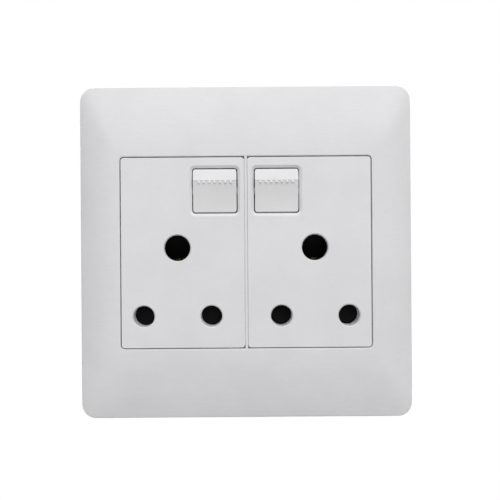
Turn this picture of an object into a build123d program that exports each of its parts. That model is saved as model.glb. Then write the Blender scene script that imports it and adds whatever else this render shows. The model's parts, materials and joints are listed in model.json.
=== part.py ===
# Double switched wall socket for three round pins, in a domed frame.
# X is to the right, Z is up, the wall is the plane Y = 0 and the face looks towards -Y.
# Heights are measured forward from the wall, so a height h lies at Y = -h.
import os
from math import cos, radians, sin, sqrt

from build123d import *

os.makedirs("parts", exist_ok=True)

# Outer frame
plate = 125.8
plate_corner = 5.2
crown = 9.0
dome_drop = 3.6
dome_blend = 3.0
dome_margin = 13.5
dome_steps = 38
frame_wall = 2.2
edge_round = 0.5
collar_wall = 1.6
collar_back = 4.2
clip_x = 36.0
clip_out = 9.9
clip_w = 6.4
clip_t = 1.5
clip_barb = 0.7
clip_root = 6.6
clip_hook = 0.2
clip_end = 2.4

# Sockets side by side in the window
module_w = 46.35
module_h = 71.5
module_corner = 1.2
window_gap = 0.35
mullion = 1.1
mullion_gap = 0.05
mullion_sink = 0.05
mullion_root = 0.2

# Pin pattern of the 15 A standard, whose earth pin stands 28.6 mm from either of the others
pin_offset = 2.075
earth_z = 1.7
pin_half = 12.7
pin_drop = 25.6
pin_r = 3.53
earth_pin_r = 4.355
pin_length = 20.6
pin_grip = 0.07
earth_pin_length = 28.6
earth_pin_grip = 0.095
pin_hole_r = 4.0
earth_hole_r = 4.9

# Support yoke
yoke_side = 8.9
yoke_end = 6.9
yoke_t = 1.5
yoke_rim_h = 3.6
yoke_rim_t = 1.5
yoke_corner = 4.0
fixing_spacing = 83.5
fixing_hole_r = 2.2

# Clearances between pieces, and how far shapes of one piece run into each other
slack = 0.3
running = 0.05
seat = 0.25
weld = 0.1

# Cover of one socket
cover_wall = 1.5
face_wall = 2.7
cover_back = -4.0
collar_r = 5.6
collar_end = 3.3
cover_round = 0.2
mouth_round = 0.4
ledge_t = 1.8
ledge_out = 2.5
ledge_x = 13.0
ledge_w = 8.0
ledge_root = 0.5
barb_out = 1.0
barb_len = 2.4
barb_gap = 0.1
pillar_r = 2.75
pillar_edge = 4.175
pillar_high = 29.6
pillar_mid = 2.0
pillar_side = -6.0
pillar_low = -30.8
pilot_r = 1.15
pilot_end = 2.5

# Rocker and its opening
rocker_inset = 11.0
rocker_z = 23.2
opening = 17.1
opening_corner = 1.25
bezel_w = 1.0
bezel_d = 0.6
pivot_h = 6.0
rocker_gap = 0.4
rocker_corner = 1.4
rocker_round = 0.25
arc_gap = 0.15
rocker_back = 4.2
rocker_top = 8.6
rocker_bottom = 8.5
ridge_h = 10.1
ridge_z = 3.9
ridge_step = 0.15
ridge_drop = 0.4
hollow_sag = 0.17
rib_pitch = 2.0
rib_w = 0.62
rib_count = 7
rib_out = 0.32
rib_fall = 0.95
rib_end = 1.2
rib_root = 0.9
rib_up = 0.2
trunnion_r = 1.3
trunnion_out = 1.6
cheek_t = 1.6
cheek_len = 8.0
cheek_back = 3.0
cheek_skin = 0.2
rocker_wall = 1.6
rocker_lean = 5.0
hollow_d = 2.6
stem_root = 1.5

# Plunger inside the rocker and the see-saw contact behind it
tube_r = 3.1
tube_end = 8.0
plunger_r = 2.0
plunger_centre = 10.85
plunger_tail = 4.5
spigot_r = 0.9
spigot_end = 3.0
spring_wire = 0.4
spring_seat = 0.25
plunger_spring_r = 1.4
plunger_turns = 4
see_h = -9.0
see_front = 2.0
see_t = 1.0
see_w = 6.0
see_half = 9.0
see_lean = 6.0
see_block = 3.6
rivet_z = 6.8
rivet_r = 1.7
rivet_t = 1.0
bar_r = 0.9

# Base and contacts
base_inset = 0.75
base_end = 0.3
base_back = -24.0
base_corner = 1.0
chamber_side = 2.0
chamber_end = 1.5
tube_wall = 1.0
block_wall = 1.4
earth_wall = 1.05
contact_front = 0.3
contact_rest = 1.9
block_back = -21.5
earth_front = -8.0
earth_rest = 0.4
earth_block_out = 9.4
earth_block_w = 8.6
earth_block_h = 8.4
earth_block_d = 8.5
earth_slit_in = 1.0
earth_wire_in = 0.4
supply_w = 8.0
supply_h = 7.0
supply_drop = 0.7
slit_w = 0.8
slit_len = 9.0
strip_w = 5.0
strip_t = 0.8
strip_root = 0.7
strip_low = 5.0
strip_high = 10.0
strip_top = 2.0
post_in = 0.25
post_d = 1.0
post_w = 1.2
wire_h = -17.5
wire_r = 1.9
wire_way_r = 2.3
clamp_r = 1.5
clamp_head_r = 2.6
clamp_head_t = 1.8
clamp_gap = 0.1
clamp_stand = 0.2
head_well_r = 3.0
screw_r = 1.1
screw_head_r = 2.4
screw_head_t = 1.8
screw_short = 3.2
slot_w = 0.8
slot_d = 0.9
cross_len = 3.0

# Shutter
shutter_travel = 8.8
shutter_front = 3.0
shutter_back = 0.6
wing_w = 10.6
wing_gap = 1.6
wing_h = 10.0
wing_up = 0.4
bridge_h = 3.0
arm_in = 5.2
arm_w = 3.0
arm_top = 5.2
arm_foot = 4.0
guide_t = 1.2
guide_len = 14.0
guide_z = -1.0
ramp_front = 5.9
ramp_top = 7.5
ramp_lap = 0.2
ramp_spare = 0.1
spring_peg = 2.0
shutter_spring_h = 2.0
shutter_spring_r = 1.6
shutter_turns = 7
bracket_z = 26.0
bracket_t = 1.5
bracket_w = 7.0
bracket_back = -1.0

# Sizes that follow from the ones above
module_x = mullion / 2 + mullion_gap + module_w / 2
window_w = 2 * (module_x + module_w / 2 + window_gap)
window_h = module_h + 2 * window_gap
pin_x = module_x + pin_offset
pin_z = earth_z - pin_drop
inner_x = pin_x - pin_half
outer_x = pin_x + pin_half
clip_z = window_h / 2 + clip_out
yoke_w = plate - 2 * yoke_side
yoke_h = plate - 2 * yoke_end
yoke_in_w = yoke_w - 2 * yoke_rim_t
yoke_in_h = yoke_h - 2 * yoke_rim_t
inner_face = crown - face_wall
rocker_x = module_x - module_w / 2 + rocker_inset
rocker_half = opening / 2 - rocker_gap
rocker_arc = opening / 2 - arc_gap
contact_r = pin_r + pin_grip
earth_contact_r = earth_pin_r + earth_pin_grip
well_r = contact_r + tube_wall + seat
block_r = contact_r + block_wall
earth_r = earth_contact_r + earth_wall
contact_back = crown - pin_length - contact_rest
earth_floor = crown - earth_pin_length - earth_rest
ramp_back = ramp_front - shutter_travel - ramp_spare
wing_edge = module_x + module_w / 2 - cover_wall - wing_gap
pillar_out = module_w / 2 - pillar_edge
pillars = [
    (module_x + pillar_out, pillar_high),
    (module_x - pillar_out, pillar_mid),
    (pin_x, pillar_low),
    (module_x + pillar_out, pillar_side),
]


def front(h):
    """Sketch plane facing the viewer, a height h in front of the wall."""
    return Plane.XZ.offset(h)


def side(x):
    """Sketch plane across the object at x, drawn as (Y, Z)."""
    return Plane.YZ.offset(x)


def dome_height(x, z):
    """Height of the frame's front: level at the window, falling to the rim along every side."""
    run_x = plate / 2 - window_w / 2
    run_z = plate / 2 - window_h / 2
    fall_x = max(0.0, (abs(x) - window_w / 2) / run_x) ** 2
    fall_z = max(0.0, (abs(z) - window_h / 2) / run_z) ** 2
    return crown - dome_drop * (fall_x**dome_blend + fall_z**dome_blend) ** (1 / dome_blend)


def dome_face(sink):
    """Smooth face through the dome's formula, lowered by sink."""
    reach = plate / 2 + dome_margin
    steps = [-reach + 2 * reach * i / dome_steps for i in range(dome_steps + 1)]
    rows = [[(x, sink - dome_height(x, z), z) for z in steps] for x in steps]
    return Face.make_surface_from_array_of_points(rows, tol=0.01, min_deg=3, max_deg=3)


def hand_in(part, name):
    """Label one piece and write its file."""
    part.label = name
    export_step(part, f"parts/{name}.step")


def both_sides(part, name):
    """Write a piece of the right socket and its mirror image for the left one."""
    with BuildPart() as other:
        mirror(part, about=Plane.YZ)
    hand_in(part, "right_" + name)
    hand_in(other.part, "left_" + name)


# Room behind the dome, left hollow by the frame
with BuildPart() as hollow:
    with BuildSketch(front(0)):
        RectangleRounded(plate - 2 * frame_wall, plate - 2 * frame_wall, plate_corner - frame_wall)
    extrude(amount=crown + 2)
    extrude(dome_face(frame_wall), amount=3 * crown, dir=(0, -1, 0), mode=Mode.SUBTRACT)
    with BuildSketch(front(collar_back)):
        Rectangle(window_w + 2 * collar_wall, window_h + 2 * collar_wall)
    extrude(amount=crown, mode=Mode.SUBTRACT)

# Outer frame: domed shell with a window, a thin bar and four clips
with BuildPart() as outer_frame:
    with BuildSketch(front(0)):
        RectangleRounded(plate, plate, plate_corner)
    extrude(amount=crown + 2)
    extrude(dome_face(0), amount=3 * crown, dir=(0, -1, 0), mode=Mode.SUBTRACT)
    fillet(outer_frame.faces().filter_by(GeomType.BSPLINE).edges(), edge_round)
    add(hollow.part, mode=Mode.SUBTRACT)
    with BuildSketch(front(0)):
        RectangleRounded(window_w, window_h, module_corner + window_gap)
    extrude(amount=crown + 2, mode=Mode.SUBTRACT)
    with BuildSketch(front(collar_back)):
        Rectangle(mullion, window_h + 2 * mullion_root)
    extrude(amount=crown - mullion_sink - collar_back)
    for edge_z in (clip_z, -clip_z):
        out = 1 if edge_z > 0 else -1
        for edge_x in (clip_x, -clip_x):
            with BuildSketch(side(edge_x - clip_w / 2)):
                with BuildLine():
                    Polyline(
                        (-clip_root, edge_z),
                        (clip_end, edge_z),
                        (clip_end, edge_z + out * clip_t),
                        (clip_hook, edge_z + out * (clip_t + clip_barb)),
                        (clip_hook, edge_z + out * clip_t),
                        (-clip_root, edge_z + out * clip_t),
                        close=True,
                    )
                make_face()
            extrude(amount=clip_w)
hand_in(outer_frame.part, "outer_frame")

# Support yoke: flat ring with a raised rim, two fixing holes and four clip slots
with BuildPart() as support_yoke:
    with BuildSketch(front(0)):
        RectangleRounded(yoke_w, yoke_h, yoke_corner)
    extrude(amount=yoke_t)
    with BuildSketch(front(yoke_t)):
        RectangleRounded(yoke_w, yoke_h, yoke_corner)
        RectangleRounded(yoke_in_w, yoke_in_h, yoke_corner - yoke_rim_t, mode=Mode.SUBTRACT)
    extrude(amount=yoke_rim_h - yoke_t)
    with BuildSketch(front(0)):
        Rectangle(window_w - 2 * window_gap + 2 * slack, module_h + 2 * slack)
        with Locations((0, fixing_spacing / 2), (0, -fixing_spacing / 2)):
            Circle(fixing_hole_r)
        for edge_z in (clip_z + clip_t / 2, -clip_z - clip_t / 2):
            with Locations((clip_x, edge_z), (-clip_x, edge_z)):
                Rectangle(clip_w + 2 * slack, clip_t + 2 * slack)
    extrude(amount=yoke_rim_h, mode=Mode.SUBTRACT)
hand_in(support_yoke.part, "support_yoke")

# Cover of the right socket
with BuildPart() as cover:
    with BuildSketch(front(cover_back)):
        with Locations((module_x, 0)):
            RectangleRounded(module_w, module_h, module_corner)
    extrude(amount=crown - cover_back)
    fillet(cover.faces().sort_by(Axis.Y)[0].edges(), cover_round)
    with BuildSketch(front(cover_back)):
        with Locations((module_x, 0)):
            Rectangle(module_w - 2 * cover_wall, module_h - 2 * cover_wall)
    extrude(amount=inner_face - cover_back, mode=Mode.SUBTRACT)
    # Collars behind the two lower holes, pillars for the screws, bracket for the shutter spring
    with BuildSketch(front(collar_end)):
        with Locations((inner_x, pin_z), (outer_x, pin_z)):
            Circle(collar_r)
    extrude(amount=inner_face - collar_end + weld)
    with BuildSketch(front(cover_back)):
        with Locations(*pillars):
            Circle(pillar_r)
    extrude(amount=inner_face - cover_back + weld)
    with BuildSketch(front(bracket_back)):
        with Locations((pin_x, bracket_z + bracket_t / 2)):
            Rectangle(bracket_w, bracket_t)
    extrude(amount=inner_face - bracket_back + weld)
    # Ribs that guide the shutter and cheeks that carry the rocker
    with BuildSketch(front(shutter_back)):
        for away in (1, -1):
            with Locations((pin_x + away * (arm_in + arm_w + slack + guide_t / 2), guide_z)):
                Rectangle(guide_t, guide_len)
    extrude(amount=inner_face - shutter_back + weld)
    with BuildSketch(front(pivot_h - cheek_back)):
        for away in (1, -1):
            with Locations((rocker_x + away * (opening + cheek_t) / 2, rocker_z)):
                Rectangle(cheek_t, cheek_len)
    extrude(amount=inner_face - pivot_h + cheek_back + 2 * weld)
    # Ledges in front of the yoke and barbs behind it
    for away in (1, -1):
        for along in (-ledge_x, ledge_x):
            with BuildSketch(side(module_x + along - ledge_w / 2)):
                with BuildLine():
                    Polyline(
                        (-yoke_t, away * (module_h / 2 - ledge_root)),
                        (-yoke_t - ledge_t, away * (module_h / 2 - ledge_root)),
                        (-yoke_t - ledge_t, away * (module_h / 2 + ledge_out)),
                        (-yoke_t, away * (module_h / 2 + ledge_out)),
                        close=True,
                    )
                make_face()
                with BuildLine():
                    Polyline(
                        (barb_gap, away * (module_h / 2 - ledge_root)),
                        (barb_gap, away * (module_h / 2 + barb_out)),
                        (barb_gap + barb_len, away * module_h / 2),
                        (barb_gap + barb_len, away * (module_h / 2 - ledge_root)),
                        close=True,
                    )
                make_face()
            extrude(amount=ledge_w)
    # Rocker opening with its bezel
    with BuildSketch(front(0)):
        with Locations((rocker_x, rocker_z)):
            RectangleRounded(opening, opening, opening_corner)
    extrude(amount=crown, mode=Mode.SUBTRACT)
    with BuildSketch(front(crown - bezel_d)):
        with Locations((rocker_x, rocker_z)):
            RectangleRounded(opening, opening, opening_corner)
    with BuildSketch(front(crown)):
        with Locations((rocker_x, rocker_z)):
            RectangleRounded(opening + 2 * bezel_w, opening + 2 * bezel_w, opening_corner + bezel_w)
    loft(mode=Mode.SUBTRACT)
    with BuildSketch(side(rocker_x - opening / 2 - cheek_t + cheek_skin)):
        with Locations((-pivot_h, rocker_z)):
            Circle(trunnion_r + running)
    extrude(amount=opening + 2 * (cheek_t - cheek_skin), mode=Mode.SUBTRACT)
    # Pin holes with eased mouths, and pilot holes in the pillars
    for hole_x, hole_z, hole_r in (
        (pin_x, earth_z, earth_hole_r),
        (inner_x, pin_z, pin_hole_r),
        (outer_x, pin_z, pin_hole_r),
    ):
        with BuildSketch(front(collar_end)):
            with Locations((hole_x, hole_z)):
                Circle(hole_r)
        extrude(amount=crown - collar_end, mode=Mode.SUBTRACT)
        with BuildSketch(front(crown - mouth_round)):
            with Locations((hole_x, hole_z)):
                Circle(hole_r)
        extrude(amount=mouth_round, taper=-45, mode=Mode.SUBTRACT)
    with BuildSketch(front(cover_back)):
        with Locations(*pillars):
            Circle(pilot_r)
    extrude(amount=inner_face - cover_back - pilot_end, mode=Mode.SUBTRACT)
both_sides(cover.part, "cover")

# Rocker of the right socket, drawn switched on with its lower end pressed in
ridge_foot = ridge_h - ridge_step
end_top = sqrt(rocker_arc**2 - (rocker_top - pivot_h) ** 2)
end_bottom = sqrt(rocker_arc**2 - (rocker_bottom - pivot_h) ** 2)
end_back = sqrt(rocker_arc**2 - (rocker_back - pivot_h) ** 2)
hollow_z = (ridge_z - ridge_drop - end_bottom) / 2
pivot = (rocker_x, -pivot_h, rocker_z)
stem = Plane(
    origin=pivot,
    x_dir=(1, 0, 0),
    z_dir=(0, cos(radians(rocker_lean)), sin(radians(rocker_lean))),
)
with BuildPart() as rocker:
    with BuildSketch(side(rocker_x - rocker_half)):
        with BuildLine():
            Line((-rocker_back, rocker_z - end_back), (-rocker_back, rocker_z + end_back))
            ThreePointArc(
                (-rocker_back, rocker_z + end_back),
                (-pivot_h, rocker_z + rocker_arc),
                (-rocker_top, rocker_z + end_top),
            )
            Line((-rocker_top, rocker_z + end_top), (-ridge_h, rocker_z + ridge_z))
            Line((-ridge_h, rocker_z + ridge_z), (-ridge_foot, rocker_z + ridge_z - ridge_drop))
            ThreePointArc(
                (-ridge_foot, rocker_z + ridge_z - ridge_drop),
                (hollow_sag - (ridge_foot + rocker_bottom) / 2, rocker_z + hollow_z),
                (-rocker_bottom, rocker_z - end_bottom),
            )
            ThreePointArc(
                (-rocker_bottom, rocker_z - end_bottom),
                (-pivot_h, rocker_z - rocker_arc),
                (-rocker_back, rocker_z - end_back),
            )
        make_face()
    extrude(amount=2 * rocker_half)
    across = rocker.edges().filter_by(Axis.X)
    fillet(across.filter_by_position(Axis.Y, -rocker_top - 0.05, -rocker_bottom + 0.05), rocker_round)
    with BuildSketch(front(0)):
        with Locations((rocker_x, rocker_z)):
            RectangleRounded(2 * rocker_half, 2 * rocker_arc, rocker_corner)
    extrude(amount=2 * crown, mode=Mode.INTERSECT)
    with BuildSketch(front(rocker_back)):
        with Locations((rocker_x, rocker_z)):
            Rectangle(2 * (rocker_half - rocker_wall), 2 * (end_back - rocker_wall))
    extrude(amount=hollow_d, mode=Mode.SUBTRACT)
    # Grip ribs along the ridge
    for i in range(rib_count):
        rib_x = rocker_x + (i - (rib_count - 1) / 2) * rib_pitch
        with BuildSketch(side(rib_x - rib_w / 2)):
            with BuildLine():
                Polyline(
                    (-ridge_h + weld, rocker_z + ridge_z + rib_up),
                    (-ridge_h - rib_out, rocker_z + ridge_z - rib_fall),
                    (-ridge_h - weld, rocker_z + ridge_z - rib_end),
                    (-ridge_h + rib_root, rocker_z + ridge_z - rib_end),
                    (-ridge_h + rib_root, rocker_z + ridge_z + rib_up),
                    close=True,
                )
            make_face()
        extrude(amount=rib_w)
    # Trunnions and the stem that holds the plunger
    with BuildSketch(side(rocker_x - rocker_half - trunnion_out)):
        with Locations((-pivot_h, rocker_z)):
            Circle(trunnion_r)
    extrude(amount=trunnion_out + rocker_wall)
    with BuildSketch(side(rocker_x + rocker_half - rocker_wall)):
        with Locations((-pivot_h, rocker_z)):
            Circle(trunnion_r)
    extrude(amount=trunnion_out + rocker_wall)
    with BuildSketch(stem.offset(-stem_root)):
        Circle(tube_r)
    extrude(amount=tube_end + stem_root)
    with BuildSketch(stem):
        Circle(plunger_r + running)
    extrude(amount=tube_end, mode=Mode.SUBTRACT)
both_sides(rocker.part, "rocker")

# Plunger: round-nosed pin sliding in the rocker's stem
with BuildPart() as plunger:
    with BuildSketch(stem.offset(plunger_tail)):
        Circle(plunger_r)
    extrude(amount=plunger_centre - plunger_tail)
    with Locations(stem.offset(plunger_centre).location):
        Sphere(plunger_r)
    with BuildSketch(stem.offset(spigot_end)):
        Circle(spigot_r)
    extrude(amount=plunger_tail - spigot_end)
both_sides(plunger.part, "plunger")

# Plunger spring: square wire wound round the spigot
coil = plunger_tail - 2 * spring_seat
with BuildPart() as plunger_spring:
    with BuildLine() as winding:
        Helix(
            pitch=coil / plunger_turns,
            height=coil,
            radius=plunger_spring_r,
            center=stem.offset(spring_seat).origin,
            direction=stem.z_dir,
        )
    with BuildSketch(Plane(origin=winding.line @ 0, z_dir=winding.line % 0)):
        Rectangle(spring_wire, spring_wire)
    sweep(path=winding.line, is_frenet=True)
both_sides(plunger_spring.part, "plunger_spring")

# See-saw contact, rocking on the bar of the switched contact
see = Plane(
    origin=(rocker_x, -see_h, rocker_z),
    x_dir=(1, 0, 0),
    z_dir=(0, -cos(radians(see_lean)), sin(radians(see_lean))),
)
with BuildPart() as see_saw:
    with BuildSketch(see.offset(see_front - see_t)):
        Rectangle(see_w, 2 * see_half)
    extrude(amount=see_t)
    with BuildSketch(see.offset(0)):
        Rectangle(see_w, see_block)
    extrude(amount=see_front - see_t)
    with BuildSketch(see.offset(0)):
        with Locations((0, rivet_z)):
            Circle(rivet_r)
    extrude(amount=see_front - see_t)
    with BuildSketch(side(rocker_x - see_w)):
        with Locations((-see_h, rocker_z)):
            Circle(bar_r + running)
    extrude(amount=2 * see_w, mode=Mode.SUBTRACT)
both_sides(see_saw.part, "seesaw_contact")

# Switched contact: slit tube round the inner pin, strip up to the see-saw and its bar
strip_front = see_h - bar_r + weld
with BuildPart() as switched_contact:
    with BuildSketch(front(contact_back)):
        with Locations((inner_x, pin_z)):
            Circle(contact_r + tube_wall)
            Circle(contact_r, mode=Mode.SUBTRACT)
    extrude(amount=contact_front - contact_back)
    with BuildSketch(front(contact_front - slit_len)):
        with Locations((inner_x, pin_z)):
            Rectangle(3 * contact_r, slit_w)
            Rectangle(slit_w, 3 * contact_r)
    extrude(amount=slit_len, mode=Mode.SUBTRACT)
    with BuildSketch(front(strip_front - strip_t)):
        with BuildLine():
            Polyline(
                (inner_x - strip_w / 2, pin_z + contact_r + strip_root),
                (inner_x + strip_w / 2, pin_z + contact_r + strip_root),
                (inner_x + strip_w / 2, strip_low),
                (rocker_x + strip_w / 2, strip_high),
                (rocker_x + strip_w / 2, rocker_z + strip_top),
                (rocker_x - strip_w / 2, rocker_z + strip_top),
                (rocker_x - strip_w / 2, strip_high),
                (inner_x - strip_w / 2, strip_low),
                close=True,
            )
        make_face()
        with Locations((inner_x, pin_z)):
            Circle(contact_r + tube_wall / 2, mode=Mode.SUBTRACT)
    extrude(amount=strip_t)
    with BuildSketch(side(rocker_x - strip_w / 2)):
        with Locations((-see_h, rocker_z)):
            Circle(bar_r)
        with Locations((-strip_front + post_in, rocker_z)):
            Rectangle(post_d, post_w)
    extrude(amount=strip_w)
both_sides(switched_contact.part, "switched_contact")

# Supply terminal: drilled block carrying the fixed rivet
supply_z = rocker_z + rivet_z - supply_drop
rivet_face = see_h - (rivet_z + rivet_r) * sin(radians(see_lean)) - running
block_front = rivet_face - rivet_t
with BuildPart() as supply_terminal:
    with BuildSketch(front(block_back)):
        with Locations((rocker_x, supply_z)):
            Rectangle(supply_w, supply_h)
    extrude(amount=block_front - block_back)
    with BuildSketch(front(block_front)):
        with Locations((rocker_x, rocker_z + rivet_z)):
            Circle(rivet_r)
    extrude(amount=rivet_face - block_front)
    with BuildSketch(Plane.XY.offset(supply_z - supply_h)):
        with Locations((rocker_x, -wire_h)):
            Circle(wire_r)
    extrude(amount=2 * supply_h, mode=Mode.SUBTRACT)
    with BuildSketch(front(block_back)):
        with Locations((rocker_x, supply_z)):
            Circle(clamp_r + clamp_gap)
    extrude(amount=wire_h - block_back, mode=Mode.SUBTRACT)
both_sides(supply_terminal.part, "supply_terminal")

# Plain contact: slit tube round the outer pin, with a drilled block behind
with BuildPart() as plain_contact:
    with BuildSketch(front(contact_back)):
        with Locations((outer_x, pin_z)):
            Circle(contact_r + tube_wall)
    extrude(amount=contact_front - contact_back)
    with BuildSketch(front(block_back)):
        with Locations((outer_x, pin_z)):
            Circle(block_r)
    extrude(amount=contact_back - block_back)
    with BuildSketch(front(contact_back)):
        with Locations((outer_x, pin_z)):
            Circle(contact_r)
    extrude(amount=contact_front - contact_back, mode=Mode.SUBTRACT)
    with BuildSketch(front(contact_front - slit_len)):
        with Locations((outer_x, pin_z)):
            Rectangle(3 * contact_r, slit_w)
            Rectangle(slit_w, 3 * contact_r)
    extrude(amount=slit_len, mode=Mode.SUBTRACT)
    with BuildSketch(Plane.XY.offset(pin_z - 2 * block_r)):
        with Locations((outer_x, -wire_h)):
            Circle(wire_r)
    extrude(amount=4 * block_r, mode=Mode.SUBTRACT)
    with BuildSketch(front(block_back)):
        with Locations((outer_x, pin_z)):
            Circle(clamp_r + clamp_gap)
    extrude(amount=wire_h - block_back, mode=Mode.SUBTRACT)
both_sides(plain_contact.part, "plain_contact")

# Earth contact: slit tube with a drilled block at its outer side
earth_block_x = pin_x + earth_block_out
with BuildPart() as earth_contact:
    with BuildSketch(front(block_back)):
        with Locations((pin_x, earth_z)):
            Circle(earth_r)
    extrude(amount=earth_front - block_back)
    with BuildSketch(front(block_back)):
        with Locations((earth_block_x, earth_z)):
            Rectangle(earth_block_w, earth_block_h)
    extrude(amount=earth_block_d)
    with BuildSketch(front(earth_floor)):
        with Locations((pin_x, earth_z)):
            Circle(earth_contact_r)
    extrude(amount=earth_front - earth_floor, mode=Mode.SUBTRACT)
    with BuildSketch(front(earth_front - slit_len + earth_slit_in)):
        with Locations((pin_x, earth_z)):
            Rectangle(3 * earth_r, slit_w)
            Rectangle(slit_w, 3 * earth_r)
    extrude(amount=slit_len, mode=Mode.SUBTRACT)
    with BuildSketch(side(pin_x + earth_r + earth_wire_in)):
        with Locations((-wire_h, earth_z)):
            Circle(wire_r)
    extrude(amount=2 * earth_block_w, mode=Mode.SUBTRACT)
    with BuildSketch(front(block_back)):
        with Locations((earth_block_x, earth_z)):
            Circle(clamp_r + clamp_gap)
    extrude(amount=wire_h - block_back, mode=Mode.SUBTRACT)
both_sides(earth_contact.part, "earth_contact")

# Terminal screws, one behind each terminal
clamps = [(rocker_x, supply_z), (outer_x, pin_z), (earth_block_x, earth_z)]
with BuildPart() as terminal_screws:
    with BuildSketch(front(block_back - clamp_head_t - clamp_stand)):
        with Locations(*clamps):
            Circle(clamp_head_r)
    extrude(amount=clamp_head_t)
    with BuildSketch(front(block_back - clamp_stand)):
        with Locations(*clamps):
            Circle(clamp_r)
    extrude(amount=wire_h - wire_r - block_back)
    with BuildSketch(front(block_back - clamp_head_t - clamp_stand)):
        with Locations(*clamps):
            Rectangle(3 * clamp_head_r, slot_w)
    extrude(amount=slot_d, mode=Mode.SUBTRACT)
both_sides(terminal_screws.part, "terminal_screws")

# Base: one block with a well or pocket for each metal piece
base_w = module_w - 2 * base_inset
base_h = module_h - 2 * base_inset - base_end
with BuildPart() as base:
    with BuildSketch(front(base_back)):
        with Locations((module_x, 0)):
            RectangleRounded(base_w, base_h, base_corner)
    extrude(amount=cover_back - base_back)
    chamfer(base.faces().sort_by(Axis.Y)[-1].edges(), base_corner)
    # Wells for the contacts
    with BuildSketch(front(contact_back)):
        with Locations((inner_x, pin_z)):
            Circle(well_r)
    extrude(amount=cover_back - contact_back, mode=Mode.SUBTRACT)
    with BuildSketch(front(block_back)):
        with Locations((outer_x, pin_z)):
            Circle(block_r + seat)
        with Locations((pin_x, earth_z)):
            Circle(earth_r + seat)
        with Locations((earth_block_x, earth_z)):
            Rectangle(earth_block_w + 2 * seat, earth_block_h + 2 * seat)
        with Locations((rocker_x, supply_z)):
            Rectangle(supply_w + 2 * seat, supply_h + 2 * seat)
    extrude(amount=cover_back - block_back, mode=Mode.SUBTRACT)
    # Chamber of the switch and channel of the switched strip
    with BuildSketch(front(strip_front - strip_t)):
        with Locations((rocker_x, rocker_z)):
            Rectangle(see_w + 2 * chamber_side, 2 * (see_half + chamber_end))
        with BuildLine():
            Polyline(
                (inner_x - strip_w / 2 - seat, pin_z),
                (inner_x + strip_w / 2 + seat, pin_z),
                (inner_x + strip_w / 2 + seat, strip_low),
                (rocker_x + strip_w / 2 + seat, strip_high),
                (rocker_x + strip_w / 2 + seat, rocker_z),
                (rocker_x - strip_w / 2 - seat, rocker_z),
                (rocker_x - strip_w / 2 - seat, strip_high),
                (inner_x - strip_w / 2 - seat, strip_low),
                close=True,
            )
        make_face()
    extrude(amount=cover_back - strip_front + strip_t, mode=Mode.SUBTRACT)
    # Wire entries at the top, the bottom and the outer side
    with BuildSketch(Plane.XY.offset(supply_z)):
        with Locations((rocker_x, -wire_h)):
            Circle(wire_way_r)
    extrude(amount=base_h / 2 - supply_z, mode=Mode.SUBTRACT)
    with BuildSketch(Plane.XY.offset(-base_h / 2)):
        with Locations((outer_x, -wire_h)):
            Circle(wire_way_r)
    extrude(amount=base_h / 2 + pin_z, mode=Mode.SUBTRACT)
    with BuildSketch(side(earth_block_x)):
        with Locations((-wire_h, earth_z)):
            Circle(wire_way_r)
    extrude(amount=module_x + base_w / 2 - earth_block_x, mode=Mode.SUBTRACT)
    # Wells for the screw heads, and the holes of the housing screws
    with BuildSketch(front(base_back)):
        with Locations(*clamps):
            Circle(head_well_r)
    extrude(amount=block_back - base_back, mode=Mode.SUBTRACT)
    with BuildSketch(front(base_back)):
        with Locations(*pillars):
            Circle(screw_head_r + slack)
    extrude(amount=screw_head_t + slack, mode=Mode.SUBTRACT)
    with BuildSketch(front(base_back)):
        with Locations(*pillars):
            Circle(screw_r + slack)
    extrude(amount=cover_back - base_back, mode=Mode.SUBTRACT)
both_sides(base.part, "base")

# Housing screws that join base and cover
screw_seat = base_back + screw_head_t + slack
with BuildPart() as housing_screws:
    with BuildSketch(front(screw_seat - screw_head_t)):
        with Locations(*pillars):
            Circle(screw_head_r)
    extrude(amount=screw_head_t)
    with BuildSketch(front(screw_seat)):
        with Locations(*pillars):
            Circle(screw_r)
    extrude(amount=inner_face - screw_short - screw_seat)
    with BuildSketch(front(screw_seat - screw_head_t)):
        with Locations(*pillars):
            Rectangle(slot_w, cross_len)
            Rectangle(cross_len, slot_w)
    extrude(amount=slot_d, mode=Mode.SUBTRACT)
both_sides(housing_screws.part, "housing_screws")

# Shutter: two wings behind the lower holes, and a ramp that the earth pin lifts
wing_z = pin_z + wing_up
with BuildPart() as shutter:
    with BuildSketch(front(shutter_back)):
        with Locations((inner_x, wing_z)):
            Rectangle(wing_w, wing_h)
        with Locations(((outer_x - wing_w / 2 + wing_edge) / 2, wing_z)):
            Rectangle(wing_edge - outer_x + wing_w / 2, wing_h)
        with Locations((pin_x, wing_z + wing_h / 2 - bridge_h / 2)):
            Rectangle(2 * pin_half, bridge_h)
        for away in (1, -1):
            with Locations((pin_x + away * (arm_in + arm_w / 2), (pin_z + arm_foot + arm_top) / 2)):
                Rectangle(arm_w, arm_top - pin_z - arm_foot)
    extrude(amount=shutter_front - shutter_back)
    with BuildSketch(side(pin_x - arm_in - ramp_lap)):
        with BuildLine():
            Polyline(
                (-ramp_front, earth_z + earth_pin_r + slack),
                (-ramp_back, earth_z + earth_pin_r + slack - (ramp_front - ramp_back)),
                (-ramp_back, earth_z + ramp_top),
                (-ramp_front, earth_z + ramp_top),
                close=True,
            )
        make_face()
    extrude(amount=2 * (arm_in + ramp_lap))
    with BuildSketch(Plane.XY.offset(earth_z + ramp_top)):
        with Locations((pin_x, -shutter_spring_h)):
            Circle(shutter_spring_r - spring_wire)
    extrude(amount=spring_peg)
both_sides(shutter.part, "shutter")

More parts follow.
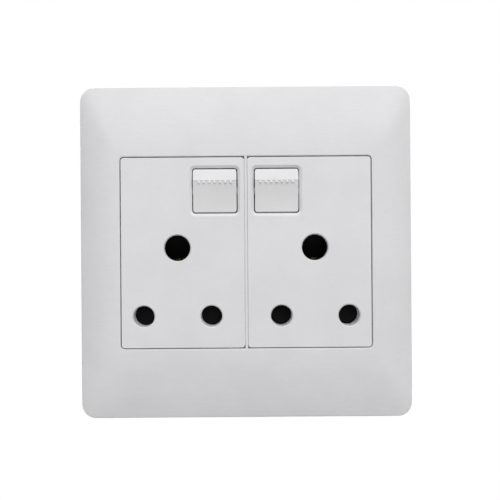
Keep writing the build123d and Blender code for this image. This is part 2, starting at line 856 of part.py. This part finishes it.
# Shutter spring, between the ramp and the cover's bracket
drop_coil = bracket_z - earth_z - ramp_top - spring_wire - 2 * running
with BuildPart() as shutter_spring:
    with BuildLine() as winding:
        Helix(
            pitch=drop_coil / shutter_turns,
            height=drop_coil,
            radius=shutter_spring_r,
            center=(pin_x, -shutter_spring_h, earth_z + ramp_top + spring_wire / 2 + running),
        )
    with BuildSketch(Plane(origin=winding.line @ 0, z_dir=winding.line % 0)):
        Rectangle(spring_wire, spring_wire)
    sweep(path=winding.line, is_frenet=True)
both_sides(shutter_spring.part, "shutter_spring")
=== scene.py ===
# %% [markdown]
# # A double wall socket with rocker switches
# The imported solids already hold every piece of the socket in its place. This lesson dresses them: each
# material gets the small faults and the gloss of the real one, the domed frame is worked out again as one
# smooth surface, the springs are wound from round wire, and a studio with one big lamp above shows it all.

# %% Load the socket
import json

import bmesh
import bpy
import numpy as np
from mathutils import Matrix, Vector


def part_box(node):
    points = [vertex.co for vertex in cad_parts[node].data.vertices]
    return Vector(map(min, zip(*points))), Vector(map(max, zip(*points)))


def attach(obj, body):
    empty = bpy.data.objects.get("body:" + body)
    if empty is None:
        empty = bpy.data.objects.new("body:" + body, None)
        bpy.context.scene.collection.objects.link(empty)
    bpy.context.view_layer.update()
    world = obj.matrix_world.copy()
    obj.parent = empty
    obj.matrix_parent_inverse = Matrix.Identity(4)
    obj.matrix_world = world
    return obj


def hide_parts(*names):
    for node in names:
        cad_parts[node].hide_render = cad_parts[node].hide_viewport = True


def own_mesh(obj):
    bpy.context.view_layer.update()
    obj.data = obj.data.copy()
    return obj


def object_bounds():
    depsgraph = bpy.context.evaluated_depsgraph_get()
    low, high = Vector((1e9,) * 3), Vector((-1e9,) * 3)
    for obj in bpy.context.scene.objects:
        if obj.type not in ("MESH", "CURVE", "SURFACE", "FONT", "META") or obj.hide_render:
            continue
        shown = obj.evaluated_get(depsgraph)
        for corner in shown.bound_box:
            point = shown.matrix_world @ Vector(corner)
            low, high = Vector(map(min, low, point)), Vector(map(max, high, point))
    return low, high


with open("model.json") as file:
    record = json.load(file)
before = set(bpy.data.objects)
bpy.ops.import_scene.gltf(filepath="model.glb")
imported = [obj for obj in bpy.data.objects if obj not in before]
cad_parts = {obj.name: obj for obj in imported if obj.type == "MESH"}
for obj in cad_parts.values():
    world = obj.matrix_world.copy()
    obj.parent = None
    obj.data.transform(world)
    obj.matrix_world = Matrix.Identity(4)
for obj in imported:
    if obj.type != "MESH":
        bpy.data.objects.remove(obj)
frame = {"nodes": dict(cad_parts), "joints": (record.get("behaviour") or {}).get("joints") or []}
nodes = frame["nodes"]
mm_in_metre = 1000.0
cad_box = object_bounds()

# %% [markdown]
# ## Shader sums written as sums
# A material is a web of small nodes, and adding two values by hand takes one node and two links each time.
# A tap is one output of a node. It knows plus, minus and times, so that a sum in the text becomes the
# nodes that work it out. A board is the web itself, and its node method can add any kind of node.

# %% A tap and a board
class Tap:
    """One output of a node. Plus, minus and times add a Math node to the same board."""

    def __init__(self, board, socket):
        self.board = board
        self.socket = socket

    def sum(self, operation, first, second):
        return self.board.node("ShaderNodeMath", {"operation": operation}, {0: first, 1: second})

    def __add__(self, other):
        return self.sum("ADD", self, other)

    def __radd__(self, other):
        return self.sum("ADD", other, self)

    def __sub__(self, other):
        return self.sum("SUBTRACT", self, other)

    def __rsub__(self, other):
        return self.sum("SUBTRACT", other, self)

    def __mul__(self, other):
        return self.sum("MULTIPLY", self, other)

    def __rmul__(self, other):
        return self.sum("MULTIPLY", other, self)


class Board:
    """The node tree of a material or of the world."""

    def __init__(self, tree):
        self.tree = tree

    def put(self, socket, value):
        """Link a tap into a socket, or set the socket's own value."""
        if isinstance(value, Tap):
            self.tree.links.new(value.socket, socket)
        else:
            socket.default_value = value

    def node(self, kind, settings=None, sockets=None, out=0):
        """Add a node of any kind: first its settings, then the value or link of each socket."""
        made = self.tree.nodes.new(kind)
        for setting, value in (settings or {}).items():
            setattr(made, setting, value)
        for name, value in (sockets or {}).items():
            self.put(made.inputs[name], value)
        return Tap(self, made.outputs[out])


# %% [markdown]
# ## What every finish needs
# Patterns on a part stay put when they are worked out from the part's own coordinates, in metres. Three
# patterns cover this socket: cloudy noise for blotches and grain, the same noise stretched for drawn or
# stamped metal, and a step that turns a cloud into specks. A mix of two colours goes through a Mix node,
# because a Math node would turn a colour grey.

# %% Patterns shared by the finishes
def start_finish(name, plain):
    """A new material whose constant values sit on its shader's own sockets."""
    material = bpy.data.materials.new(name)
    material.use_nodes = True
    board = Board(material.node_tree)
    board.material = material
    board.shader = material.node_tree.nodes["Principled BSDF"]
    for socket, value in plain.items():
        board.shader.inputs[socket].default_value = value
    board.place = board.node("ShaderNodeTexCoord", out="Object")
    return board


def cloud(board, scale, detail=2.0, stretch=(1, 1, 1)):
    """Soft noise from 0 to 1, with about scale blotches to the metre, drawn out along an axis by stretch."""
    place = board.node("ShaderNodeMapping", None, {"Vector": board.place, "Scale": stretch})
    wanted = {"Vector": place, "Scale": scale, "Detail": detail, "Roughness": 0.5}
    return board.node("ShaderNodeTexNoise", {"noise_dimensions": "3D"}, wanted, out="Fac")


def step(board, value, low, high):
    """0 below low, 1 above high, and a smooth rise between."""
    wanted = {"Value": value, "From Min": low, "From Max": high}
    return board.node("ShaderNodeMapRange", {"interpolation_type": "SMOOTHSTEP"}, wanted)


def paint(shade, brightness=1.0):
    """A shade of red, green and blue, made brighter or darker, as the opaque colour of a socket."""
    return tuple(brightness * part for part in shade) + (1.0,)


def blend_colour(board, share, first, second):
    """first where share is 0, second where it is 1."""
    wanted = {0: share, 6: first, 7: second}
    return board.node("ShaderNodeMix", {"data_type": "RGBA"}, wanted, out=2)


def end_finish(board, colour, roughness, grain, depth):
    """Feed the shader its colour, its roughness and a bump as deep as depth, in metres."""
    bump = board.node("ShaderNodeBump", None, {"Height": grain, "Strength": 1.0, "Distance": depth})
    board.put(board.shader.inputs["Base Color"], colour)
    board.put(board.shader.inputs["Roughness"], roughness)
    board.put(board.shader.inputs["Normal"], bump)
    print("finish", board.material.name, len(board.tree.nodes), "nodes")
    return board.material


# %% [markdown]
# ## White mouldings
# Frame, covers and rockers are thermoset and thermoplastic mouldings in nearly the same white. The polished
# mould leaves a skin with a faint orange peel, and slow clouds where the melt met. The frame's mould was
# rubbed one way, which left it silky. Pigment can't be matched perfectly between presses, so each of the
# three gets its own shade, gloss and silk from one recipe.

# %% The three whites
dust_shade = (0.36, 0.35, 0.33)


def white_moulding(name, shade, gloss, peel_depth, silk):
    """White with faint flow clouds, gloss that wanders a little, a fine orange peel, a little dust and, as
    strong as silk, short level lines left by the finishing of the mould."""
    board = start_finish(name, {"IOR": 1.49, "Specular IOR Level": 0.4})
    flow = cloud(board, scale=55.0, detail=3.0)
    peel = cloud(board, scale=1500.0, detail=1.0)
    lines = step(board, cloud(board, scale=1100.0, detail=3.0, stretch=(0.22, 1.0, 1.0)), 0.35, 0.65)
    dust = step(board, cloud(board, scale=2600.0, detail=0.0), 0.70, 0.80)
    tone = blend_colour(board, step(board, flow, 0.3, 0.7), paint(shade, 0.955), paint(shade))
    tone = blend_colour(board, silk * lines, tone, paint(shade, 0.90))
    tone = blend_colour(board, 0.12 * dust, tone, paint(dust_shade))
    gloss_map = gloss + 0.10 * (flow - 0.5) + 0.06 * (peel - 0.5) + 0.08 * dust
    return end_finish(board, tone, gloss_map, peel + silk * lines, peel_depth)


frame_white = white_moulding("frame_white", (0.718, 0.708, 0.721), gloss=0.46, peel_depth=10e-6, silk=0.20)
cover_white = white_moulding("cover_white", (0.724, 0.724, 0.737), gloss=0.48, peel_depth=12e-6, silk=0.08)
rocker_white = white_moulding("rocker_white", (0.724, 0.721, 0.731), gloss=0.44, peel_depth=8e-6, silk=0.05)

# %% [markdown]
# ## Dark and grey mouldings
# The bases stand behind the wall, and are pressed from black filled resin that shows its powder as a fine
# grain. The shutters are black too, and their colour is painted far darker than the bases' black, as painted
# shade for the holes they close. The yoke is grey nylon with short glass fibres that break the surface, and
# the plungers are plain nylon, a warm white.

# %% Resin, nylon and glass fibre
def filled_moulding(name, shade, speck, gloss, shine, grain_scale, grain_depth, speck_length=1.0):
    """Resin with powder or fibre in it: specks of another colour, speck_length times as long as they are
    wide, a dry grain and a patchy gloss."""
    board = start_finish(name, {"IOR": 1.52, "Specular IOR Level": shine})
    patch = cloud(board, scale=90.0, detail=3.0)
    grain = cloud(board, scale=grain_scale, detail=3.0)
    fibre = cloud(board, scale=1500.0, detail=1.0, stretch=(1.0, 1.0, 1 / speck_length))
    fibre = step(board, fibre, 0.60, 0.72)
    tone = blend_colour(board, patch, paint(shade), paint(shade, 1.25))
    tone = blend_colour(board, 0.5 * fibre, tone, paint(speck))
    gloss_map = gloss + 0.18 * (patch - 0.5) + 0.10 * (grain - 0.5) - 0.08 * fibre
    return end_finish(board, tone, gloss_map, grain + 0.4 * fibre, grain_depth)


base_black = filled_moulding(
    "base_black", (0.016, 0.016, 0.017), (0.040, 0.039, 0.038),
    gloss=0.48, shine=0.4, grain_scale=1300.0, grain_depth=45e-6)
# Painted shade: the shutters' black is painted about four times darker than the bases' black, so the holes in
# front of them read as deep shade.
shutter_black = filled_moulding(
    "shutter_black", (0.004, 0.004, 0.0045), (0.006, 0.006, 0.006),
    gloss=0.75, shine=0.06, grain_scale=1800.0, grain_depth=20e-6)
yoke_grey = filled_moulding(
    "yoke_grey", (0.36, 0.365, 0.37), (0.50, 0.50, 0.49),
    gloss=0.46, shine=0.4, grain_scale=1100.0, grain_depth=40e-6, speck_length=4.5)
plunger_nylon = filled_moulding(
    "plunger_nylon", (0.60, 0.575, 0.50), (0.66, 0.64, 0.58),
    gloss=0.40, shine=0.5, grain_scale=1500.0, grain_depth=12e-6)

# %% [markdown]
# ## Metals
# The contacts are brass, turned or stamped: tool lines run along them, and the air has browned them in
# places. The earth contact's brass is painted far darker still, as painted shade for the deep hole it sits
# in.
# The screws are zinc-plated steel, bluish with a hint of yellow.
# The springs are drawn wire, darker, with lines along it. All share a recipe, with tarnish from slow noise
# and lines from stretched noise.

# %% Brass, zinc and spring wire
line_depth = 15e-6


def bare_metal(name, bright, stained, gloss, lines_scale, stain_from):
    """Metal with stretched tool lines in its gloss and its bump, and a stain where a slow cloud is high."""
    board = start_finish(name, {"Metallic": 1.0, "IOR": 1.45})
    lines = cloud(board, scale=lines_scale, stretch=(1.0, 0.06, 1.0))
    stain = step(board, cloud(board, scale=160.0, detail=4.0), stain_from, stain_from + 0.22)
    tone = blend_colour(board, stain, paint(bright), paint(stained))
    gloss_map = gloss + 0.16 * (lines - 0.5) + 0.20 * stain
    return end_finish(board, tone, gloss_map, lines, line_depth)


contact_brass = bare_metal(
    "contact_brass", (0.83, 0.61, 0.29), (0.50, 0.33, 0.15), gloss=0.27, lines_scale=2600.0, stain_from=0.52)
# Painted shade: the earth contact's brass is painted several times darker, so it stays as dim as the deep
# hole it sits in.
earth_brass_painted_shade = bare_metal(
    "earth_brass_painted_shade", (0.20, 0.14, 0.075), (0.10, 0.07, 0.04), gloss=0.42, lines_scale=2600.0, stain_from=0.40)
zinc_steel = bare_metal(
    "zinc_steel", (0.43, 0.44, 0.46), (0.36, 0.34, 0.28), gloss=0.34, lines_scale=2200.0, stain_from=0.52)
spring_wire = bare_metal(
    "spring_wire", (0.40, 0.40, 0.42), (0.25, 0.24, 0.24), gloss=0.33, lines_scale=3200.0, stain_from=0.50)

# %% [markdown]
# ## Every solid gets its finish
# The solids' meshes stay as they are. Only the material in their slot changes, piece by piece, by the part
# of the name that follows left or right.

# %% Paint the solids
finish_of = {
    "outer_frame": frame_white,
    "support_yoke": yoke_grey,
    "cover": cover_white,
    "rocker": rocker_white,
    "base": base_black,
    "shutter": shutter_black,
    "plunger": plunger_nylon,
    "supply_terminal": contact_brass,
    "switched_contact": contact_brass,
    "plain_contact": contact_brass,
    "earth_contact": earth_brass_painted_shade,
    "seesaw_contact": contact_brass,
    "terminal_screws": zinc_steel,
    "housing_screws": zinc_steel,
    "plunger_spring": spring_wire,
    "shutter_spring": spring_wire,
}
for name, solid in nodes.items():
    plain_name = name.removeprefix("left_").removeprefix("right_")
    solid.data.materials.clear()
    solid.data.materials.append(finish_of[plain_name])
print("painted", len(nodes), "solids with", len(set(finish_of.values())), "finishes")

# %% [markdown]
# ## Surfaces from grids
# New pieces are grids of points. A grid has rows and columns, four neighbours make a face, and a way that
# closes joins its last line to its first. Lengths are in millimetres while a shape is worked out, as on the
# drawing, and become metres in the mesh. Lines that fall on each other are merged, so poles are closed.

# %% From grids to a mesh
def grid_faces(rows, columns, rows_close, columns_close):
    """Four corners of every face of a grid whose points are counted row by row."""
    number = np.arange(rows * columns).reshape(rows, columns)
    number = np.vstack([number, number[:1]]) if rows_close else number
    number = np.hstack([number, number[:, :1]]) if columns_close else number
    corners = [number[:-1, :-1], number[1:, :-1], number[1:, 1:], number[:-1, 1:]]
    return np.stack(corners, axis=-1).reshape(-1, 4)


def make_piece(name, sheets, finish, body, crease):
    """One mesh from grids (points, rows_close, columns_close), in millimetres, riding on a body."""
    starts = np.cumsum([0] + [grid.shape[0] * grid.shape[1] for grid, _, _ in sheets])
    points = np.concatenate([grid.reshape(-1, 3) for grid, _, _ in sheets]) / mm_in_metre
    faces = [grid_faces(*grid.shape[:2], r, c) + s for (grid, r, c), s in zip(sheets, starts)]
    mesh = bpy.data.meshes.new(name)
    mesh.from_pydata(points.tolist(), [], np.concatenate(faces).tolist())
    shell = bmesh.new()
    shell.from_mesh(mesh)
    bmesh.ops.remove_doubles(shell, verts=shell.verts, dist=1e-7)
    bmesh.ops.recalc_face_normals(shell, faces=shell.faces)
    shell.to_mesh(mesh)
    shell.free()
    mesh.shade_smooth()
    mesh.set_sharp_from_angle(angle=np.radians(crease))
    mesh.materials.append(finish)
    made = bpy.data.objects.new(name, mesh)
    bpy.context.scene.collection.objects.link(made)
    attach(made, body)
    print("piece", name, len(mesh.polygons), "faces")
    return made


# %% [markdown]
# ## The domed frame
# From the front, the frame is more than half of what shows: level beside the window, then falling towards
# every rim, with soft hips where two falls meet at a corner. A stack of bevels would show steps in the slow
# change of light, so the surface is one formula. Each point lies on a ray from the window's outline to the
# rim's outline, and its height comes from how far it has gone sideways and upwards.

# %% Outlines and the dome's formula
crown, dome_drop, dome_blend = 9.0, 3.6, 3.0
dome_wall, collar_wall, sill = 2.2, 1.6, 4.2
window_corner, collar_corner, room_corner, rim_corner = 1.55, 0.4, 3.0, 5.2
half_plate = mm_in_metre * np.array(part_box("outer_frame")[1])[[0, 2]]
half_window = np.array([47.3, 36.1])


def outline(half, corner, round_steps=16, side_steps=56):
    """Rounded rectangle of points (x, z): four quarter circles, angle by angle, each followed by a straight
    side on which the points crowd towards both ends. All outlines have equally many points."""
    turn = np.arange(4)[:, None] * np.pi / 2 + np.linspace(0, np.pi / 2, round_steps)
    signs = np.array([[1, 1], [-1, 1], [-1, -1], [1, -1]])
    arcs = (signs * (half - corner))[:, None] + corner * np.stack([np.cos(turn), np.sin(turn)], axis=-1)
    ease = (1 - np.cos(np.pi * np.arange(1, side_steps) / side_steps)) / 2
    leave, reach = arcs[:, -1:], np.roll(arcs, -1, axis=0)[:, :1]
    return np.concatenate([arcs, leave + (reach - leave) * ease[:, None]], axis=1).reshape(-1, 2)


def dome(flat):
    """Height over the wall: the crown, less the drop times the soft maximum of two squared shares, which are
    how far the point has gone from the window to the rim, sideways and upwards."""
    share = np.maximum(0, (np.abs(flat) - half_window) / (half_plate - half_window)) ** 2
    return crown - dome_drop * (share**dome_blend).sum(axis=-1) ** (1 / dome_blend)


window, rim = outline(half_window, window_corner), outline(half_plate, rim_corner)
collar = outline(half_window + collar_wall, collar_corner)
room = outline(half_plate - dome_wall, room_corner)
print("outline", len(rim), "points, rim height", round(float(dome(rim).min()), 2), "mm")

# %% Rows of the frame
def stand(flat, height):
    """Points (x, z) at a height in front of the wall, as (x, y, z)."""
    return np.stack([flat[..., 0], np.broadcast_to(-height, flat.shape[:-1]), flat[..., 1]], axis=-1)


def run(first, last, steps):
    """Rows from one line to another, evenly spaced: first + (last - first) * share."""
    return first + (last - first) * np.linspace(0, 1, steps)[:, None, None]


def bend(first, corner, last, steps):
    """Rows round an edge: the parabola from first to last that leaves and arrives towards corner."""
    share = np.linspace(0, 1, steps)[:, None, None]
    return (1 - share) ** 2 * first + 2 * share * (1 - share) * corner + share**2 * last


def inset(flat, towards, distance):
    """Points moved by a distance along their rays."""
    ray = towards - flat
    return flat + ray * (distance / np.linalg.norm(ray, axis=-1, keepdims=True))


mouth_round, brow_round, heel_round = 0.4, 0.45, 0.25
mouth, brow = inset(window, rim, mouth_round), inset(rim, window, brow_round)
heel = inset(rim, room, heel_round)
front_flat = run(mouth, brow, 44)
back_flat = run(room, collar, 26)

# %% The frame as one closed surface
mouth_low, rim_top = stand(window, crown - mouth_round), stand(rim, dome(rim) - brow_round)
rim_low = stand(rim, heel_round)
frame_rows = [
    run(stand(window, sill), mouth_low, 5),
    bend(mouth_low, stand(window, crown), stand(mouth, dome(mouth)), 8),
    stand(front_flat, dome(front_flat)),
    bend(stand(brow, dome(brow)), stand(rim, dome(rim)), rim_top, 9),
    run(rim_top, rim_low, 6),
    bend(rim_low, stand(rim, 0.0), stand(heel, 0.0), 5),
    run(stand(heel, 0.0), stand(room, 0.0), 3),
    run(stand(room, 0.0), stand(room, dome(room) - dome_wall), 6),
    stand(back_flat, dome(back_flat) - dome_wall),
    run(stand(collar, dome(collar) - dome_wall), stand(collar, sill), 4),
]
frame_sheet = (np.concatenate(frame_rows), True, True)
print("frame grid", frame_sheet[0].shape)

# %% [markdown]
# ## The bar between the sockets, and the clips
# A thin bar crosses the window between the two covers, a hair lower than they are. Four clips behind the
# dome snap into the yoke. Both are a profile carried along a straight path and closed at its ends, and they
# go into the frame's own mesh, because the three are one moulding.

# %% Bar and clips
def prism(profile, path):
    """A closed profile (points, 3) carried by path, and closed at each end by a row drawn to its middle."""
    ends = profile + np.array([[[0, 0, 0]], [path]])
    middles = np.broadcast_to(ends.mean(axis=1, keepdims=True), ends.shape)
    rows = [middles[0], ends[0], ends[1], middles[1]]
    return np.stack(rows), False, True


bar_half, bar_shoulder, bar_rise, bar_bite = 0.55, 8.75, 0.22, 0.2
bar_reach = half_window[1] + bar_bite
arc = np.linspace(0, np.pi, 13)
bar_flat = np.stack([bar_half * np.cos(arc), bar_shoulder + bar_rise * np.sin(arc)], axis=-1)
bar_flat = np.concatenate([[[bar_half, sill]], bar_flat, [[-bar_half, sill]]])
bar_profile = np.stack([bar_flat[:, 0], -bar_flat[:, 1], np.full(len(bar_flat), -bar_reach)], axis=-1)
clip_x, clip_z, clip_width = 36.0, 46.0, 6.4
clip_root, clip_tip, clip_hook, clip_thick, hook_thick = -6.6, 2.4, 0.2, 1.5, 2.2
clip_side = np.array([
    [clip_root, 0], [clip_tip, 0], [clip_tip, clip_thick],
    [clip_hook, hook_thick], [clip_hook, clip_thick], [clip_root, clip_thick],
])


def clip(side, out):
    """Side view of a clip as (y, z), carried across its width. side is 1 or -1 for right or left, and out is
    1 or -1 for the upper edge or the lower."""
    x = np.full(len(clip_side), side * clip_x - clip_width / 2)
    profile = np.stack([x, clip_side[:, 0], out * (clip_z + clip_side[:, 1])], axis=-1)
    return prism(profile, (clip_width, 0, 0))


frame_crease = 40
clips = [clip(side, out) for side in (1, -1) for out in (1, -1)]
frame_sheets = [frame_sheet, prism(bar_profile, (0, 0, 2 * bar_reach))] + clips
domed_frame = make_piece("domed_frame", frame_sheets, frame_white, "housing", frame_crease)
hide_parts("outer_frame")

# %% [markdown]
# ## Springs of round wire
# A spring sits in each rocker's stem and above each shutter. The solids are wound from square wire, which is
# light to build. Here a circle is carried along a helix, which is the true shape. A spring's two ends touch
# different pieces; here each new spring rides on one piece and keeps its length when the other moves.

# %% Wind a spring
wire, steps_a_turn, ring_points, coil_crease = 0.4, 36, 10, 50


def winding(foot, axis, across, radius, height, turns):
    """Round wire on a helix: foot + radius (across cos a + along sin a) + axis rise, with a and the rise
    growing together. Each point carries a circle between the radius and the direction square to the wire."""
    share = np.linspace(0, 1, steps_a_turn * turns + 1)[:, None]
    angle, along = 2 * np.pi * turns * share, np.cross(axis, across)
    out = across * np.cos(angle) + along * np.sin(angle)
    ahead = 2 * np.pi * turns * radius * (along * np.cos(angle) - across * np.sin(angle)) + axis * height
    square = np.cross(ahead / np.linalg.norm(ahead, axis=1, keepdims=True), out)
    middle = foot + radius * out + axis * height * share
    ring = np.linspace(0, 2 * np.pi, ring_points, endpoint=False)[None, :, None]
    tube = middle[:, None] + wire / 2 * (out[:, None] * np.cos(ring) + square[:, None] * np.sin(ring))
    caps = np.broadcast_to(middle[[0, -1]][:, None], (2, ring_points, 3))
    return np.concatenate([caps[:1], tube, caps[1:]]), False, True


joints = {joint["name"]: joint for joint in frame["joints"]}
slides = [joint for joint in frame["joints"] if "range_m" in joint]
travel = {joint["name"]: mm_in_metre * joint["range_m"][1] for joint in slides}
print("slides", travel)

# %% Two springs in the stems
stem_radius, stem_turns, stem_foot, stem_height = 1.4, 4, 0.25, 4.0
for name, hand in (("left", -1), ("right", 1)):
    slide = name + "_plunger_slide"
    pivot = mm_in_metre * np.array(joints[name + "_rocker_switch"]["pos_m"])
    inwards = -np.array(joints[slide]["axis"])
    foot = pivot + stem_foot * inwards
    sheet = winding(foot, inwards, np.array([hand, 0, 0]), stem_radius, stem_height, stem_turns)
    body = name + "_rocker"
    coil = make_piece(name + "_stem_coil", [sheet], spring_wire, body, coil_crease)
    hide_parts(name + "_plunger_spring")
    kept = 1 - travel[slide] / (stem_foot + stem_height + wire / 2)
    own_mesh(coil)

# %% Two springs above the shutters
shutter_radius, shutter_turns = 1.6, 7
for name, hand in (("left", -1), ("right", 1)):
    slide = name + "_shutter_slide"
    low, high = mm_in_metre * np.array(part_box(name + "_shutter_spring"))
    upwards, height = np.array([0, 0, 1]), high[2] - low[2]
    foot = np.array([(low[0] + high[0]) / 2, (low[1] + high[1]) / 2, low[2] + wire / 2])
    sheet = winding(foot, upwards, np.array([hand, 0, 0]), shutter_radius, height - wire, shutter_turns)
    coil = make_piece(name + "_shutter_coil", [sheet], spring_wire, "housing", coil_crease)
    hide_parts(name + "_shutter_spring")
    1 - travel[slide] / height
    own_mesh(coil)

# %% [markdown]
# ## Studio
# The socket stands in front of white, and one big soft lamp above and in front of it does most of the work:
# what leans up is brighter and what leans down is darker. A weaker lamp behind it shows the back, and an even
# glow from all round fills the rest. The floor is pale paper. Far from the socket it fades into the white
# behind, and near the socket it keeps the shadow.

# %% Floor
pure_white = (1.0, 1.0, 1.0)
seen_by = ["Is Camera Ray", "Is Glossy Ray", "Is Transmission Ray"]
shadow_y, shadow_half_x, shadow_half_y, shadow_strength = 0.028, 0.074, 0.080, 0.65


def pale_paper():
    """Pale floor. It keeps the shadow behind the socket, and fades to plain white for the camera elsewhere.
    Light that it throws back is dimmed, as if the paper were small, so that the socket's lower half stays
    in shade."""
    board = start_finish("pale_paper", {"Specular IOR Level": 0.2})
    rays = {ray: board.node("ShaderNodeLightPath", out=ray) for ray in seen_by + ["Is Diffuse Ray"]}
    fibre = cloud(board, scale=400.0, detail=3.0)
    tone = blend_colour(board, fibre, paint(pure_white, 0.80), paint(pure_white, 0.84))
    tone = blend_colour(board, rays["Is Diffuse Ray"], tone, paint(pure_white, 0.30))
    end_finish(board, tone, 0.8 + 0.1 * fibre, fibre, 20e-6)
    middle, scale = (0.0, -shadow_y / shadow_half_y, 0.0), (1 / shadow_half_x, 1 / shadow_half_y, 0.0)
    centred = {"Vector": board.place, "Location": middle, "Scale": scale}
    patch = board.node("ShaderNodeMapping", None, centred)
    reach = board.node("ShaderNodeVectorMath", {"operation": "LENGTH"}, {0: patch}, out="Value")
    depth = board.node("ShaderNodeSeparateXYZ", None, {"Vector": board.place}, out="Y")
    behind = step(board, depth, -0.002, 0.001)
    seen = rays[seen_by[0]] + rays[seen_by[1]] + rays[seen_by[2]]
    glow = board.node("ShaderNodeEmission", None, {"Color": paint(pure_white), "Strength": 1.0})
    paper = Tap(board, board.shader.outputs[0])
    fade = 1.0 - shadow_strength * behind * (1.0 - step(board, reach, 0.2, 1.0))
    mixed = board.node("ShaderNodeMixShader", None, {0: fade * seen, 1: paper, 2: glow})
    board.put(board.tree.nodes["Material Output"].inputs["Surface"], mixed)
    return board.material


floor_gap, floor_half = 0.0003, 3.0
floor_z = cad_box[0][2] - floor_gap
floor_corners = [(x * floor_half, y * floor_half, 0) for x, y in ((-1, -1), (1, -1), (1, 1), (-1, 1))]
floor_mesh = bpy.data.meshes.new("floor")
floor_mesh.from_pydata(floor_corners, [], [(0, 1, 2, 3)])
floor_mesh.materials.append(pale_paper())
floor = bpy.data.objects.new("floor", floor_mesh)
floor.location = (0, 0, floor_z)
bpy.context.scene.collection.objects.link(floor)
print("floor at", round(floor_z, 4))

# %% World
world = bpy.data.worlds.new("studio_white")
world.use_nodes = True
bpy.context.scene.world = world
sky = Board(world.node_tree)
rays = [sky.node("ShaderNodeLightPath", out=ray) for ray in seen_by]
glow = sky.node("ShaderNodeBackground", None, {"Color": paint((0.97, 0.98, 1.0)), "Strength": 0.06})
white = sky.node("ShaderNodeBackground", None, {"Color": paint(pure_white), "Strength": 1.0})
seen = sky.node("ShaderNodeMixShader", None, {0: rays[0] + rays[1] + rays[2], 1: glow, 2: white})
sky.put(world.node_tree.nodes["World Output"].inputs["Surface"], seen)
print("world has", len(world.node_tree.nodes), "nodes")

# %% Lamps
def aim(place, target):
    """Turn that points an object's -Z from place to target, with its Y as upright as can be."""
    return (Vector(target) - Vector(place)).to_track_quat("-Z", "Y").to_matrix().to_4x4()


def soft_lamp(name, place, size, power):
    """Square lamp of a size in metres and a power in watts, pointed at the middle of the socket."""
    lamp = bpy.data.lights.new(name, "AREA")
    lamp.size = size
    lamp.energy = power
    made = bpy.data.objects.new(name, lamp)
    made.matrix_world = Matrix.Translation(place) @ aim(place, (0, 0, 0))
    bpy.context.scene.collection.objects.link(made)
    print("lamp", name, power, "W")


soft_lamp("big_lamp_above", (0.22, -1.50, 1.10), size=2.7, power=54.5)
soft_lamp("lamp_behind", (-0.60, 0.90, 0.55), size=0.8, power=9.0)

# %% [markdown]
# ## Camera
# The photograph looks straight at the socket from close by, a little above its middle, and hangs less than
# half a degree off level. From there the walls of the lower holes show on their far sides. The picture is
# square, so the width of the view at the face gives the lens: its length divided by the sensor's width equals
# the distance divided by the width of the view. A small shift keeps the picture's sides parallel.

# %% Camera
view_width, distance, roll = 0.1875, 0.23, -0.42
face_y = -crown / mm_in_metre
eye, middle = Vector((-0.0023, face_y - distance, 0.0084)), Vector((0.0015, face_y, 0.0009))
camera = bpy.data.cameras.new("camera")
camera.lens = camera.sensor_width * distance / view_width
camera.clip_start = 0.01
camera.shift_x = (middle.x - eye.x) / view_width
camera.shift_y = (middle.z - eye.z) / view_width
camera_object = bpy.data.objects.new("camera", camera)
ahead, tilt = Matrix.Rotation(np.radians(90), 4, "X"), Matrix.Rotation(np.radians(roll), 4, "Z")
camera_object.matrix_world = Matrix.Translation(eye) @ ahead @ tilt
bpy.context.scene.collection.objects.link(camera_object)
bpy.context.scene.camera = camera_object
bpy.context.scene.view_settings.view_transform = "Standard"
print("lens", round(camera.lens, 1), "mm, shift", round(camera.shift_x, 3), round(camera.shift_y, 3))

# %% [markdown]
# ## Size
# The box of the solids was taken when they were loaded, and the floor stands just below it; the last step
# brings the scene up to date. The dressed socket has to stay inside the box of the solids.

# %% Finish
bpy.context.view_layer.update()
